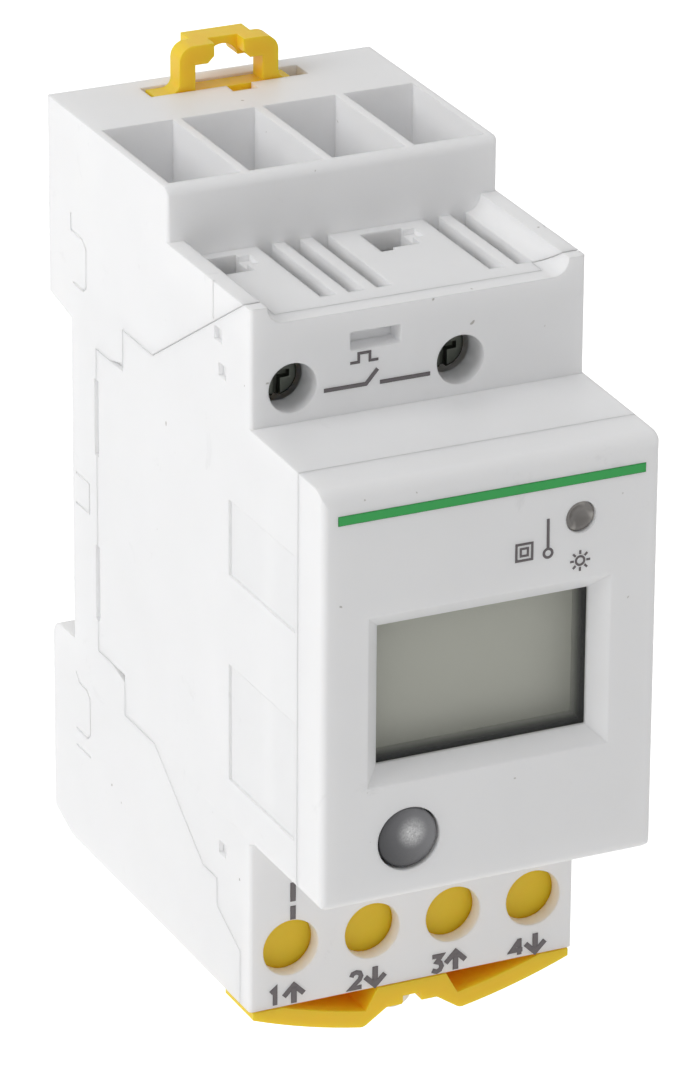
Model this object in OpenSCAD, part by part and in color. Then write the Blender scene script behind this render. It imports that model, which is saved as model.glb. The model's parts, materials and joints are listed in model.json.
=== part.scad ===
// Two-module electricity meter for a 35 mm mounting rail.
// The origin is the centre of the rail seat: y = 0 is the rail's front face and z = 0 its axis.
// The front faces -Y. Depths are given as f, the distance forward of the rail's face, so y = -f.

/* [Rail] */
// Height of the mounting rail
rail_h = 35; // [34.6:0.1:35.6]
// Thickness of the rail's lips
rail_t = 1; // [0.8:0.1:1.3]
// Play above and below the rail
rail_play = 0.35; // [0.2:0.05:0.6]
// Reach of the housing behind the rail's face
hook_reach = 5.6; // [5.4:0.1:7]
// Height of a hook behind the rail's lip
hook_bite = 2; // [1.2:0.1:2.6]

/* [Housing] */
// Width of one rail module; the meter takes two
module_w = 18; // [17.6:0.1:18.4]
// Rail axis up to the top of the housing
top_z = 40.1; // [39:0.1:43]
// Rail axis down to the bottom of the housing
base_drop = 41; // [40.5:0.1:44]
// Rail face to the shoulder
shoulder_f = 44; // [43:0.2:47]
// Rail face to the front of the nose
nose_f = 60.6; // [59:0.2:64]
// Rail axis up to the top of the nose
nose_rise = 22; // [21.6:0.1:22.4]
// Rail axis down to the bottom of the nose
nose_drop = 22.5; // [22:0.1:23.5]
// How far the nose's top falls towards the front
nose_draft = 0.35; // [0.1:0.05:0.6]
// Depth of the tray, from the top block to the shoulder
tray_d = 19.7; // [19:0.1:20.4]
// Height of the tray's floor
tray_z = 32.6; // [32:0.1:33.4]
// Thickness of the tray's floor
tray_t = 2.2; // [1.4:0.1:2.4]
// Rise of the tray's rims above its floor
rim_rise = 1.8; // [1.2:0.1:2.2]
// Width of a rim's flat top
rim_w = 1.8; // [1.2:0.1:2.2]
// Side and bottom wall thickness
wall = 1; // [0.8:0.05:1.2]
// Thickness of the spine behind the rail channel
spine_t = 2; // [1.6:0.1:3]
// Line between two mouldings
seam = 0.06; // [0.04:0.02:0.2]

/* [Seam on the sides] */
// Front edge of the spine
seam_back_f = 6.3; // [5:0.1:8]
// Forward step of the seam
seam_in_f = 13.1; // [11:0.1:15]
// Height of the seam's first step
seam_step_z = 16.7; // [15:0.1:17.5]
// Height of the seam's level run
seam_run_z = 21.2; // [20:0.1:22]
// Where the level run turns to the slope
seam_turn_f = 20.6; // [18:0.1:22]
// Where the lower slope ends
seam_low_f = 32.7; // [31:0.1:34]
// Height of the lower slope's end below the axis
seam_low_drop = 29.5; // [28:0.1:31]
// Seam to the shoulder's face at the bottom
seam_lip = 2.3; // [2:0.1:3]

/* [Bays and tray] */
// Rail face to the bays' rear wall
bay_f = 6.4; // [5.5:0.1:8]
// Height of the bays' floor
bay_floor_z = 24; // [23.5:0.1:27]
// Thickness of the bays' floor
bay_floor_t = 1.5; // [1:0.1:2]
// Thickness of the block's front wall
bay_front_t = 1.4; // [1:0.1:2]
// Thickness of a bay divider
bay_divider_t = 0.95; // [0.8:0.05:1.2]
// Width of a vent slot
vent_w = 1.7; // [1.2:0.1:2]
// Spacing of the vent slots
vent_pitch = 3.03; // [2.6:0.05:3.2]
// Left edge of the first group of vents
vent_left_x = -8.4; // [-9:0.1:-8]
// Left edge of the second group of vents
vent_right_x = 9.85; // [9.4:0.05:10.2]
// Side of a wire pocket in the tray
pocket = 4.5; // [4.3:0.1:5]

/* [Rail clip] */
// Width of the slot that the clip slides in
clip_slot_w = 17.5; // [17:0.1:18.5]
// Depth of that slot
clip_slot_t = 2.9; // [2.6:0.1:3.2]
// Slot to the rail's face
clip_slot_f = 0.6; // [0.5:0.1:1]
// Clearance of the clip in its slot
clip_gap = 0.25; // [0.2:0.05:0.4]
// Width over the loop's legs
loop_w = 11; // [10:0.1:13]
// Width of a leg
leg_w = 1.75; // [1.4:0.05:2.2]
// Height of the loop above the housing
loop_rise = 4.65; // [4.2:0.05:6]
// Height of the opening under the loop's arms
loop_gap = 2.6; // [2.2:0.1:3]
// Gap between the loop's arms
arm_gap = 3.3; // [2.6:0.1:4]
// Width of the bar behind the arms
bar_w = 6.8; // [6:0.1:8]
// Travel that frees the rail
clip_travel = 4; // [3:0.1:5]

/* [Power terminals] */
// Rail axis down to the power screws
power_drop = 34.6; // [34.2:0.1:35]
// Radius of the screw openings
power_hole_r = 3.05; // [2.9:0.05:3.3]
// Thickness of the front wall over the screws
front_wall = 1.8; // [1.5:0.1:2.2]
// Radius of a power screw's shank
power_r = 2.5; // [2:0.05:2.6]
// Radius of a power screw's head
power_head_r = 2.8; // [2.7:0.05:2.9]
// Length of a power screw's head
power_head_l = 2.6; // [2:0.1:3]
// Length of a power screw's shank
power_shank_l = 10.85; // [10:0.05:12]
// Travel of a power clamp
power_travel = 4.5; // [3:0.1:5]
// Room for a wire in an open power clamp
power_wire = 7.2; // [6.6:0.1:7.6]
// Thickness of the power conductors
bus_t = 2; // [1.5:0.1:2.4]
// Side of a power clamp to the middle of the wall beside it
power_cage_side = 1.3; // [1.2:0.05:1.5]
// Half height of a power clamp
power_cage_h = 4; // [3.6:0.1:4.2]
// Thread clearance between a screw and its clamp
thread_gap = 0.06; // [0.03:0.01:0.09]

/* [Screw shutter] */
// Thickness of the shutter's plate
shutter_t = 1.7; // [1.4:0.1:2]
// Clearance of the shutter
shutter_gap = 0.25; // [0.2:0.05:0.35]
// Travel that bares the screws
shutter_travel = 7.3; // [7:0.1:8]
// Depth of the shutter's wing
wing_d = 6.8; // [6:0.1:8]
// Thickness of the wing at its ends
wing_t = 0.8; // [0.6:0.1:1.2]
// Depth of the wing's lobes below the housing
lobe_drop = 4.3; // [4:0.1:5]
// Thickness of the wing under its finger scoops
wing_band = 1.8; // [1.4:0.1:2.2]
// Half width of the sealing lug
lug_w = 2; // [1.5:0.1:2.2]

/* [Pulse output] */
// Height of the pulse screws
pulse_z = 25.65; // [25.4:0.05:26]
// Radius of the pulse screw openings
pulse_hole_r = 2.58; // [2.4:0.02:2.8]
// Radius of a pulse screw's shank
pulse_r = 1.5; // [1.2:0.05:1.6]
// Radius of a pulse screw's head
pulse_head_r = 2.3; // [1.9:0.05:2.35]
// Length of a pulse screw's head
pulse_head_l = 1.8; // [1.4:0.1:2]
// Thickness of the shoulder's wall
shoulder_wall = 1.5; // [1.2:0.1:1.8]
// Depth of the collar round a pulse screw opening
collar_d = 3.6; // [3:0.1:3.8]
// Travel of a pulse clamp
pulse_travel = 3.2; // [2.4:0.1:3.4]
// Room for a wire in an open pulse clamp
pulse_wire = 4.6; // [4.4:0.1:5]
// Thickness of a pulse contact
contact_t = 0.8; // [0.6:0.1:1]

/* [Display and button] */
// Thickness of the fascia
fascia_t = 2; // [1.8:0.1:2.4]
// Depth of the fascia moulding
fascia_d = 5.6; // [5.2:0.1:6.2]
// Fascia beside the window
window_side = 5; // [4.6:0.1:5.5]
// Height of the window at the front
window_h = 18; // [17:0.1:19]
// Depth of the window's bevel
window_bevel = 1.65; // [1.2:0.05:1.7]
// Window centre across
window_x = -0.1; // [-0.5:0.1:0.5]
// Window centre in height
window_z = -1.05; // [-1.4:0.05:-0.6]
// Button centre across
button_x = -8.6; // [-9:0.1:-8]
// Button centre in height
button_z = -16.2; // [-16.3:0.1:-16]
// Radius of the button's opening
button_hole_r = 3.35; // [3.2:0.05:3.5]
// Gap round the button
button_gap = 0.2; // [0.15:0.05:0.3]
// Travel of the button
button_travel = 0.5; // [0.3:0.1:0.6]
// Lamp centre across
lamp_x = 9.5; // [9:0.1:10]
// Lamp centre in height
lamp_z = 14.55; // [14.2:0.05:15]
// Radius of the lamp's opening
lamp_r = 1.65; // [1.5:0.05:1.8]

/* [Boards] */
// Main board to the shoulder
board_d = 11; // [10.6:0.1:11.6]
// Thickness of a circuit board
board_t = 1.6; // [1.2:0.1:2]
// Width of a ledge that holds a board
ledge_w = 1.2; // [0.8:0.1:1.6]

/* [Hidden] */
$fn = 48;

// Past a face, so that a cut leaves no skin
over = 1;
// Gap between two pieces that lie against each other
rest_gap = 0.05;

// Housing
body_w = 2 * module_w;
inner_x = module_w - wall;
block_f = shoulder_f - tray_d;
window_w = body_w - 2 * window_side;
channel = rail_h / 2 + rail_play;
rim_z = tray_z + rim_rise;
base_z = -base_drop;
fascia_f = nose_f - fascia_d;
nose_in_top = nose_rise - nose_draft - wall;
nose_in_low = -nose_drop + wall;
nose_back_f = nose_f - fascia_t;
heel_f = 4.4;
heel_z = 1.6;
roof_slope = 1;
block_round = 1;
hook_round = 1.8;
nose_round = 1.8;
chin_round = 1;
nose_edge = 0.7;
case_edge = 0.4;
seam_low_step = 3.4;
seam_low_fall = 3;
seam_foot_drop = 35.1;
seam_top_f = shoulder_f - 1.5;

// Terminals, counted from the left
power_x = [for (i = [-1.5:1:1.5]) i * module_w / 2];
pulse_x = [power_x[0], power_x[2]];
power_z = -power_drop;
shutter_f1 = shoulder_f - front_wall - shutter_gap;
shutter_f0 = shutter_f1 - shutter_t;
guide_f = shutter_f0 - shutter_gap;
power_head_f1 = guide_f - 0.5;
power_head_f0 = power_head_f1 - power_head_l;
power_tip_f = power_head_f0 - power_shank_l;
stop_gap = 0.25;
tip_gap = 0.15;
bus_f1 = power_tip_f - tip_gap;
bus_f0 = bus_f1 - bus_t;
power_cage_f1 = power_head_f0 - stop_gap - power_travel;
power_nut_t = 3.2;
power_cage_t = 0.6;
power_cage_w = module_w / 4 - power_cage_side;
power_back_t = 1.2;
power_cage_f0 = bus_f0 - power_wire - power_back_t;
power_cage_z0 = power_z - power_cage_h;
power_cage_z1 = power_z + power_cage_h;
chamber_f0 = power_cage_f0 - 0.4;
divider_t = 1;
divider_top = power_cage_z1 + 1.1;
link_z0 = divider_top + 0.4;
link_h = 3;
tongue_w = power_cage_w - power_cage_t - 0.4;
entry_w = 2 * (power_cage_w - power_cage_t);
entry_f0 = bus_f0 - power_wire + 0.3;
entry_f1 = bus_f0 - 0.3;

collar_t = 0.8;
collar_gap = 0.2;
pulse_head_f1 = shoulder_f - collar_d - collar_gap;
pulse_head_f0 = pulse_head_f1 - pulse_head_l;
pulse_cage_f1 = pulse_head_f0 - stop_gap - pulse_travel;
pulse_cage_gap = 0.35;
pulse_back_t = 0.9;
pulse_nut_t = 2.2;
pulse_cage_t = 0.6;
pulse_cage_w = 2.9;
pulse_cage_h = 3;
pulse_cage_f0 = block_f + pulse_cage_gap;
contact_f0 = pulse_cage_f0 + pulse_back_t + pulse_wire;
contact_f1 = contact_f0 + contact_t;
pulse_tip_f = contact_f1 + tip_gap;
contact_w = 1.9;
pocket_f0 = contact_f0 - pocket - 0.05;

// Boards and display
board_f = shoulder_f - board_d;
board_x = inner_x - 0.3;
main_top = nose_in_top - 1;
main_low = divider_top + 0.2;
main_f1 = board_f + board_t;
fascia_lip_t = 0.8;
fascia_in_x = inner_x - 0.1 - fascia_lip_t;
fascia_in_top = nose_in_top - 0.1 - fascia_lip_t;
fascia_in_low = nose_in_low + 0.1 + fascia_lip_t;
pane_t = 1;
pane_f1 = nose_back_f - rest_gap;
pane_f0 = pane_f1 - pane_t;
lcd_t = 2;
lcd_well = 2;
lcd_f1 = pane_f0 - lcd_well;
lcd_f0 = lcd_f1 - lcd_t;
pane_margin = 0.4;
lcd_margin = 0.1;
frame_wall = 1.1;
frame_gap = 0.3;
zebra_h = 1.6;
zebra_t = 3;
display_f1 = lcd_f0 - zebra_t;
display_f0 = display_f1 - board_t;
lip_f0 = display_f1 + rest_gap;
frame_f1 = nose_back_f - 0.2;
ledge_t = 2.4;
button_r = button_hole_r - button_gap;
button_flange_r = button_r + 0.7;
button_flange_t = 0.8;
button_flange_f1 = nose_back_f - 0.2;
button_flange_f0 = button_flange_f1 - button_flange_t;
button_stem = 0.7;
button_sag = 0.6;
button_dome = 0.25;
switch_w = 6;
switch_h = 3.2;
switch_f1 = display_f1 + switch_h;
plunger_r = 1.6;
plunger_gap = 0.15;
plunger_f1 = button_flange_f0 - button_stem;
plunger_f0 = switch_f1 - 1.3;
led_t = 1.1;
lens_gap = 0.1;
lens_flange = 0.7;
pin_pitch = 2.54;

// Shell colours
white_c = [0.93, 0.93, 0.94];
yellow_c = [0.88, 0.72, 0.2];
steel_c = [0.55, 0.56, 0.58];
copper_c = [0.75, 0.45, 0.25];
board_c = [0.1, 0.4, 0.22];
dark_c = [0.15, 0.15, 0.17];

// Helpers

// A side profile in (f, z), carried across the width
module across(w) rotate([90, 0, -90]) linear_extrude(height = w, center = true) children();

// A front profile in (x, z), carried forward from f0 to f1
module facing(f0, f1) translate([0, -f0, 0]) rotate([90, 0, 0]) linear_extrude(height = f1 - f0) children();

// A plan profile in (x, -f), carried up from z0 to z1
module upright(z0, z1) translate([0, 0, z0]) linear_extrude(height = z1 - z0) children();

module block(x0, x1, f0, f1, z0, z1) translate([x0, -f1, z0]) cube([x1 - x0, f1 - f0, z1 - z0]);

module rod(x, z, r, f0, f1) translate([x, -f0, z]) rotate([90, 0, 0]) cylinder(r = r, h = f1 - f0);

// A half profile in (radius, f), turned about an axis along the depth
module turned(x, z) translate([x, 0, z]) rotate([90, 0, 0]) rotate_extrude() children();

module soft_rect(w, h, r) {
  square([w - 2 * r, h], center = true);
  square([w, h - 2 * r], center = true);
  for (i = [-1, 1], j = [-1, 1]) translate([i * (w / 2 - r), j * (h / 2 - r)]) circle(r);
}

// What a rounding of radius r takes off the corner p, which points along (i, j)
module corner_cut(p, r, i, j) translate([p[0] - i * r, p[1] - j * r]) difference() {
  translate([i > 0 ? 0 : -r - over, j > 0 ? 0 : -r - over]) square(r + over);
  circle(r);
}

// What rounds the two upright edges at depth f, between two heights
module upright_edges(f, r, z0, z1) for (i = [-1, 1])
  upright(z0, z1) corner_cut([i * module_w, -f], r, i, -1);

module level(f0, f1, z0, z1) translate([f0, z0]) square([f1 - f0, z1 - z0]);

// Housing

// Side outline of the closed housing
module side_outline() difference() {
  polygon([
    [-hook_reach, top_z], [block_f, top_z], [block_f, rim_z], [shoulder_f, rim_z],
    [shoulder_f, nose_rise], [nose_f, nose_rise - nose_draft], [nose_f, -nose_drop],
    [shoulder_f, -nose_drop], [shoulder_f, base_z], [heel_f - hook_reach, base_z],
    [-hook_reach, base_z + heel_z], [-hook_reach, -channel], [0, -channel], [0, channel],
    [-hook_reach, channel + roof_slope]
  ]);
  corner_cut([block_f, top_z], block_round, 1, 1);
  corner_cut([nose_f, nose_rise - nose_draft], nose_round, 1, 1);
  corner_cut([nose_f, -nose_drop], chin_round, 1, -1);
  corner_cut([-hook_reach, -channel], hook_round, -1, 1);
}

// Side outline of the room inside
module room_outline() {
  level(spine_t, nose_back_f, nose_in_low, nose_in_top);
  level(spine_t, block_f, nose_in_low, bay_floor_z - bay_floor_t);
  level(block_f, shoulder_f - shoulder_wall, nose_in_low, tray_z - tray_t);
  level(wall - hook_reach + 0.6, shoulder_f - front_wall, base_z + wall, -channel - spine_t);
  level(spine_t, shoulder_f - front_wall, -channel - spine_t - over, nose_in_low + over);
}

// Seam between the base and the case, widened by g
function seam_slope() = (seam_top_f - seam_turn_f) / (rim_z - seam_run_z);
function seam_line(g) = [
  [seam_top_f - g + over * seam_slope(), rim_z + g + over],
  [seam_turn_f - g, seam_run_z + g],
  [seam_in_f - g, seam_run_z + g],
  [seam_in_f - g, seam_step_z + g],
  [seam_back_f - g, seam_step_z + g],
  [seam_back_f - g, -seam_step_z - g],
  [seam_in_f - g, -seam_step_z - g],
  [seam_in_f - g, -seam_run_z - g],
  [seam_turn_f - g, -seam_run_z - g],
  [seam_low_f - g, -seam_low_drop - g],
  [seam_low_f + seam_low_step - g, -seam_low_drop - g],
  [seam_low_f + seam_low_step - g, -seam_low_drop - seam_low_fall - g],
  [shoulder_f - seam_lip - g, -seam_foot_drop - g],
  [shoulder_f - seam_lip - g, base_z - over]
];
module front_region(g) polygon(concat(
  seam_line(g),
  [[nose_f + over, base_z - over], [nose_f + over, rim_z + g + over]]
));

// Where the seam crosses the tray
vent_f1 = seam_turn_f + (tray_z - seam_run_z) * seam_slope() - seam - 0.2;

// The tray between its rims, with a hollow fillet along each rim
module tray_profile() {
  tray_x = module_w - rim_w - rim_rise;
  for (i = [-1, 1]) translate([i * tray_x, rim_z]) circle(rim_rise);
  translate([-tray_x, tray_z]) square([2 * tray_x, rim_rise + over]);
  translate([-tray_x - rim_rise, rim_z]) square([2 * (tray_x + rim_rise), over]);
}

module shell() difference() {
  across(body_w) side_outline();
  across(2 * inner_x) room_outline();
  facing(block_f, shoulder_f + over) tray_profile();
}

module bays() {
  outer = module_w - wall + 0.2;
  edges = [for (i = [-2:2]) abs(i) == 2 ? sign(i) * (outer + bay_divider_t / 2) : i * module_w / 2];
  for (i = [0:3]) block(edges[i] + bay_divider_t / 2, edges[i + 1] - bay_divider_t / 2,
    bay_f, block_f - bay_front_t, bay_floor_z, top_z + over);
}

module vents() {
  for (i = [0:2]) vent(vent_left_x + i * vent_pitch);
  for (i = [0:1]) vent(vent_right_x + i * vent_pitch);
}
module vent(x) block(x, x + vent_w, block_f, vent_f1, tray_z - tray_t - over, rim_z + over);

// Wire pockets, each with a slot at its front and a shallow shelf beside it
pocket_slot = 0.6;
shelf_w = 1.2;
shelf_d = 2.2;
shelf_t = 0.6;
module tray_pockets() for (x = pulse_x) {
  left = x - pocket / 2;
  front = pocket_f0 + pocket;
  block(left, left + pocket, pocket_f0, front, tray_z - tray_t - over, rim_z + over);
  block(left, left + pocket / 3, front - over, front + pocket_slot, tray_z - tray_t - over, rim_z + over);
  block(left + pocket - over, left + pocket + shelf_w, pocket_f0 + shelf_t, pocket_f0 + shelf_t + shelf_d,
    tray_z - shelf_t, rim_z + over);
}

// Front of the tray's floor, which lies on a step of the case
tongue_back = 2.3;
tongue_t = 1.4;
module tray_tongue(g) {
  half = module_w - rim_w - rim_rise + g;
  block(-half, half, block_f + tray_d / 2, shoulder_f - tongue_back + g, tray_z - tongue_t - g, tray_z + (g > 0 ? over : 0));
}

module wire_entries() for (x = power_x)
  block(x - entry_w / 2, x + entry_w / 2, entry_f0, entry_f1, base_z - over, base_z + wall + over);

// Way of the shutter's plate: through the floor and a little into the side walls
track_d = 0.3;
track_x = inner_x + track_d;
plate_top = power_z + power_hole_r + 0.65;
module shutter_slot()
  block(-track_x, track_x, guide_f, shoulder_f - front_wall, base_z - over, plate_top + shutter_gap);

// Walls round the power terminals
module terminal_walls() {
  block(-inner_x, inner_x, chamber_f0 - divider_t, chamber_f0, base_z, -channel - spine_t + over);
  for (i = [-1:1]) block((i * module_w - divider_t) / 2, (i * module_w + divider_t) / 2,
    chamber_f0 - divider_t, guide_f, base_z, divider_top);
}

// Two fixed hooks behind the rail's lower lip
hook_w = 7;
hook_x = 9.5;
hook_f1 = -rail_t - 0.35;
hook_t = 1.95;
hook_top = -rail_h / 2 + hook_bite;
module hooks() for (i = [-1, 1]) translate([i * hook_x, 0, 0]) across(hook_w) polygon([
  [hook_f1 - hook_t, -channel - over], [hook_f1, -channel - over], [hook_f1, hook_top - 0.7],
  [hook_f1 - 0.7, hook_top], [hook_f1 - hook_t, hook_top]
]);

// Lug that a sealing wire goes through
lug_f1 = guide_f - 0.1;
lug_t = 1.8;
lug_drop = lobe_drop + 0.7;
seal_r = 0.9;
module seal_lug() difference() {
  facing(lug_f1 - lug_t, lug_f1) {
    translate([-lug_w, base_z - lug_drop + lug_w]) square([2 * lug_w, lug_drop - lug_w + wall]);
    translate([0, base_z - lug_drop + lug_w]) circle(lug_w);
  }
  rod(0, base_z - lug_drop + lug_w, seal_r, lug_f1 - lug_t - over, lug_f1 + over);
}

// Notch in front of the clip's slot
notch_x = 0.95;
notch_w = 2.8;
notch_f1 = 1.2;
notch_z = 5;
clip_f1 = -clip_slot_f - clip_gap;
clip_t = clip_slot_t - 2 * clip_gap;
clip_f0 = clip_f1 - clip_t;
module clip_guide() {
  block(-clip_slot_w / 2, clip_slot_w / 2, -clip_slot_f - clip_slot_t, -clip_slot_f, channel - over, top_z + over);
  block(notch_x - notch_w / 2, notch_x + notch_w / 2, -clip_slot_f - over, notch_f1, top_z - notch_z, top_z + over);
}

// Shallow marks on both sides, as outlines in (f, z)
mark_d = 0.25;
module side_cut(d) for (i = [-1, 1])
  translate([i * module_w, 0, 0]) across(2 * d) children();

// A groove of width w along a path
module groove_path(path, w) for (i = [0:len(path) - 2]) {
  a = path[i];
  b = path[i + 1];
  n = w / 2 * [a[1] - b[1], b[0] - a[0]] / norm(b - a);
  polygon([a + n, b + n, b - n, a - n]);
}

// Outlines of the pads on the base, from the rear: above, at and below the channel
pad_line = 0.22;
pad_paths = [
  [[0.05, 29.3], [0.05, 27.5], [2.9, 27.4], [3.9, 26.6], [3.85, 22.4], [3.1, 21.9], [0.5, 21.9]],
  [[0.8, 1.1], [4.25, 1.1], [4.25, -2.25], [0.8, -2.25]],
  [[0.3, -21.6], [1.2, -22.5], [3.1, -22.6], [3.95, -23.3], [3.95, -27.4], [3.2, -28], [0.3, -28]],
  [[0.3, -29.9], [4, -29.9]]
];
case_mark_z = 4.8;
case_mark_h = 8;
case_mark_d = 5;
case_mark_gap = 0.6;
low_case_mark_h = 12.5;
groove_d = 0.5;
groove_w = 0.5;
groove_z = 5;
groove_h = 8.3;
snap_w = 1.7;
snap_h = 1.4;
snap_f = shoulder_f - 5.7;
snap_z = 25;
wedge_w = 3.6;
wedge_h = 0.9;
rib_f = shoulder_f - 8.8;
rib_w = 0.2;
rib_h = 4;
module base_marks() for (path = pad_paths) groove_path(path, pad_line);
module case_marks() {
  level(shoulder_f - case_mark_d, fascia_f - case_mark_gap, case_mark_z, case_mark_z + case_mark_h);
  level(shoulder_f - case_mark_d, fascia_f - case_mark_gap, -case_mark_z - low_case_mark_h, -case_mark_z);
}

// Deeper cuts along the seam: two grooves in the spine's edge, snap windows and wedges
module seam_grooves() {
  level(seam_back_f - groove_w, seam_back_f + groove_w, groove_z, groove_z + groove_h);
  level(seam_back_f - groove_w, seam_back_f + groove_w, -groove_z - groove_h, -groove_z);
}
module snap_windows() {
  level(snap_f - snap_w, snap_f, snap_z, snap_z + snap_h);
  level(snap_f - snap_w, snap_f, -snap_z - snap_h, -snap_z);
  level(snap_f - snap_w - 1, snap_f - 1, snap_z + 2.5 * snap_h, snap_z + 3.5 * snap_h);
}
module seam_wedge() polygon([
  [seam_in_f - wedge_w, seam_step_z], [seam_in_f + seam, seam_step_z], [seam_in_f + seam, seam_step_z + wedge_h]
]);

module rear_base() color(white_c) difference() {
  union() {
    difference() {
      shell();
      across(body_w + 2 * over) front_region(seam);
    }
    intersection() {
      shell();
      tray_tongue(0);
    }
    terminal_walls();
    hooks();
    seal_lug();
  }
  bays();
  vents();
  tray_pockets();
  wire_entries();
  shutter_slot();
  clip_guide();
  side_cut(mark_d) base_marks();
  side_cut(mark_d) level(rib_f, rib_f + rib_w, rim_z - rib_h, rim_z + over);
  side_cut(groove_d) seam_grooves();
  side_cut(groove_d) seam_wedge();
  side_cut(wall + seam) mirror([0, 1]) seam_wedge();
  upright_edges(block_f, case_edge, rim_z, top_z + over);
}

// Recess above the pulse symbol
label_x = -4.7;
label_z = 29.45;
label_d = 1;
module front_case() color(white_c) {
  difference() {
    intersection() {
      shell();
      across(body_w + 2 * over) front_region(0);
    }
    across(body_w + 2 * over) level(fascia_f, nose_f + over, -nose_drop - over, nose_rise + over);
    for (x = pulse_x) rod(x, pulse_z, pulse_hole_r, shoulder_f - shoulder_wall - over, shoulder_f + over);
    for (x = power_x) rod(x, power_z, power_hole_r, shoulder_f - front_wall - over, shoulder_f + over);
    shutter_slot();
    facing(shoulder_f - label_d, shoulder_f + over) translate([label_x, label_z]) soft_rect(5.4, 1.9, 0.2);
    tray_tongue(seam);
    side_cut(mark_d) case_marks();
    side_cut(groove_d) seam_grooves();
    side_cut(groove_d) snap_windows();
    upright_edges(shoulder_f, case_edge, nose_rise, rim_z + over);
    upright_edges(shoulder_f, case_edge, base_z - over, -nose_drop);
  }
  for (x = pulse_x) difference() {
    rod(x, pulse_z, pulse_hole_r + collar_t, shoulder_f - collar_d, shoulder_f - shoulder_wall + mark_d);
    rod(x, pulse_z, pulse_hole_r, shoulder_f - collar_d - over, shoulder_f + over);
  }
  for (i = [-1, 1]) mirror([i < 0 ? 1 : 0, 0, 0]) {
    block(inner_x - ledge_w, inner_x, main_f1 + rest_gap, main_f1 + ledge_t, -seam_step_z, seam_step_z);
    block(inner_x - ledge_w, inner_x, display_f0 - ledge_t, display_f0 - rest_gap, -seam_step_z, seam_step_z);
  }
}

// Bevelled window: a wedge across the width and one up the height, crossed
module window_cut() translate([window_x, 0, window_z]) {
  inner_w = window_w - 2 * window_bevel;
  inner_h = window_h - 2 * window_bevel;
  intersection() {
    upright(-window_h, window_h) polygon([
      [-inner_w / 2, window_bevel - nose_f], [inner_w / 2, window_bevel - nose_f],
      [window_w / 2 + over, -nose_f - over], [-window_w / 2 - over, -nose_f - over]
    ]);
    across(2 * window_w) polygon([
      [nose_f - window_bevel, -inner_h / 2], [nose_f - window_bevel, inner_h / 2],
      [nose_f + over, window_h / 2 + over], [nose_f + over, -window_h / 2 - over]
    ]);
  }
  block(-inner_w / 2, inner_w / 2, nose_back_f - over, nose_f, -inner_h / 2, inner_h / 2);
}

module nose_fascia() color(white_c) difference() {
  union() {
    intersection() {
      across(body_w) side_outline();
      across(body_w + 2 * over) level(fascia_f + seam, nose_f + over, -nose_drop - over, nose_rise + over);
    }
    block(0.1 - inner_x, inner_x - 0.1, lip_f0, fascia_f + over, nose_in_low + 0.1, nose_in_top - 0.1);
  }
  block(-fascia_in_x, fascia_in_x, lip_f0 - over, nose_back_f, fascia_in_low, fascia_in_top);
  window_cut();
  rod(button_x, button_z, button_hole_r, nose_back_f - over, nose_f + over);
  rod(lamp_x, lamp_z, lamp_r, nose_back_f - over, nose_f + over);
  upright_edges(nose_f, nose_edge, -nose_drop - over, nose_rise + over);
}

// Moving pieces outside

foot_left = 8.25;
foot_right = 6.9;
toe_f1 = -rail_t - 0.3;
toe_z = rail_h / 2 - hook_bite - 0.2;
bar_f0 = -hook_reach + 0.2;
bar_t = 2.2;
arch_r = 1.8;
arch_drop = 2.6;
window_soft = 1.5;
clip_window_w = 7;
clip_window_h = 10;
clip_sink = 0.15;
leg_round = 1.6;
root_round = 1;

// Front outline of the loop above the housing
module loop_outline() {
  low = top_z - clip_sink;
  high = top_z + loop_rise;
  half = loop_w / 2;
  difference() {
    translate([-half, low - over]) square([loop_w, high - low + over]);
    for (i = [-1, 1]) corner_cut([i * half, high], leg_round, i, 1);
    translate([leg_w - half, low]) square([loop_w - 2 * leg_w, clip_sink + loop_gap]);
    translate([-arm_gap / 2, low]) square([arm_gap, high - low + over]);
    translate([0, top_z + loop_gap]) rotate(45) square(arm_gap / sqrt(2) + 1, center = true);
  }
  for (i = [-1, 1]) translate([i * half, low]) difference() {
    translate([(i - 1) / 2 * root_round, -over]) square([root_round, root_round + over]);
    translate([i * root_round, root_round]) circle(root_round);
  }
}
module rail_clip() color(yellow_c) {
  facing(clip_f0, clip_f1) loop_outline();
  difference() {
    facing(clip_f0, clip_f1) translate([-foot_left, toe_z + hook_bite])
      square([foot_left + foot_right, top_z - clip_sink - toe_z - hook_bite]);
    facing(clip_f0 - over, clip_f1 + over) translate([0, (top_z + rail_h / 2) / 2]) soft_rect(clip_window_w, clip_window_h, window_soft);
    block(-foot_left - over, foot_right + over, toe_f1, clip_f1 + over, toe_z, channel + roof_slope + 0.4);
  }
  block(-foot_left + 1, foot_right - 1, clip_f0, toe_f1, toe_z, toe_z + hook_bite + over);
  difference() {
    block(-bar_w / 2, bar_w / 2, bar_f0, clip_f0 + 0.6, top_z + loop_rise - bar_t, top_z + loop_rise);
    rod(0, top_z + loop_rise - arch_drop, arch_r, bar_f0 - over, clip_f0 + over);
  }
  block(notch_x - notch_w / 2 + clip_gap, notch_x + notch_w / 2 - clip_gap, clip_f1 - 0.3, notch_f1 - clip_gap,
    top_z - notch_z + 1.5, top_z - 0.7);
}

wing_x = module_w - 0.4;
wing_gap = 0.15;
wing_z = base_z - wing_gap;
wing_f1 = shoulder_f;
lobe_x = 5.4;
lobe_slope = 1.7;
wing_bow = 69;

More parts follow.
